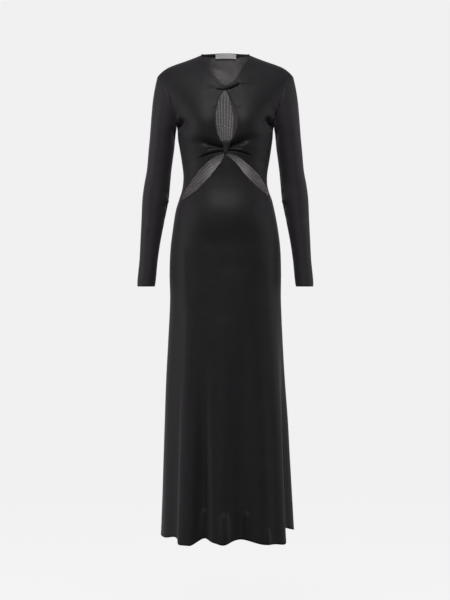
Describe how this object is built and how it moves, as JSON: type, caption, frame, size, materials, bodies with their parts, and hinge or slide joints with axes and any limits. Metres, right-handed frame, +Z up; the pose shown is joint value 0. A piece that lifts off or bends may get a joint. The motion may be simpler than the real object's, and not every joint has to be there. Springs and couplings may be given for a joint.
{
  "type": "maxi dress",
  "caption": "Long-sleeved black jersey maxi dress with a twisted V neck, keyhole, gathered under-bust loop and curved waist cut-outs, hollow as worn.",
  "frame": {"origin": "midway between the two points where the shoulder seams meet the neck, where the wearer's shoulders hold the dress up", "axes": "+Z up along the dress, -Y out of its front, +X to the right as seen from the front"},
  "size_m": [0.5142, 0.3228, 1.4353],
  "materials": {
    "jersey": "soft satin sheen",
    "trim": "matt",
    "label": "matt woven"
  },
  "bodies": {
    "root": {"bodice_front_left": "jersey", "bodice_front_right": "jersey", "skirt_front": "jersey", "back_panel": "jersey", "sleeve_left": "jersey", "sleeve_right": "jersey", "centre_loop": "jersey", "neck_twist": "jersey", "keyhole_facing": "jersey", "back_neck_binding": "trim", "neck_label": "label"}
  },
  "joints": []
}
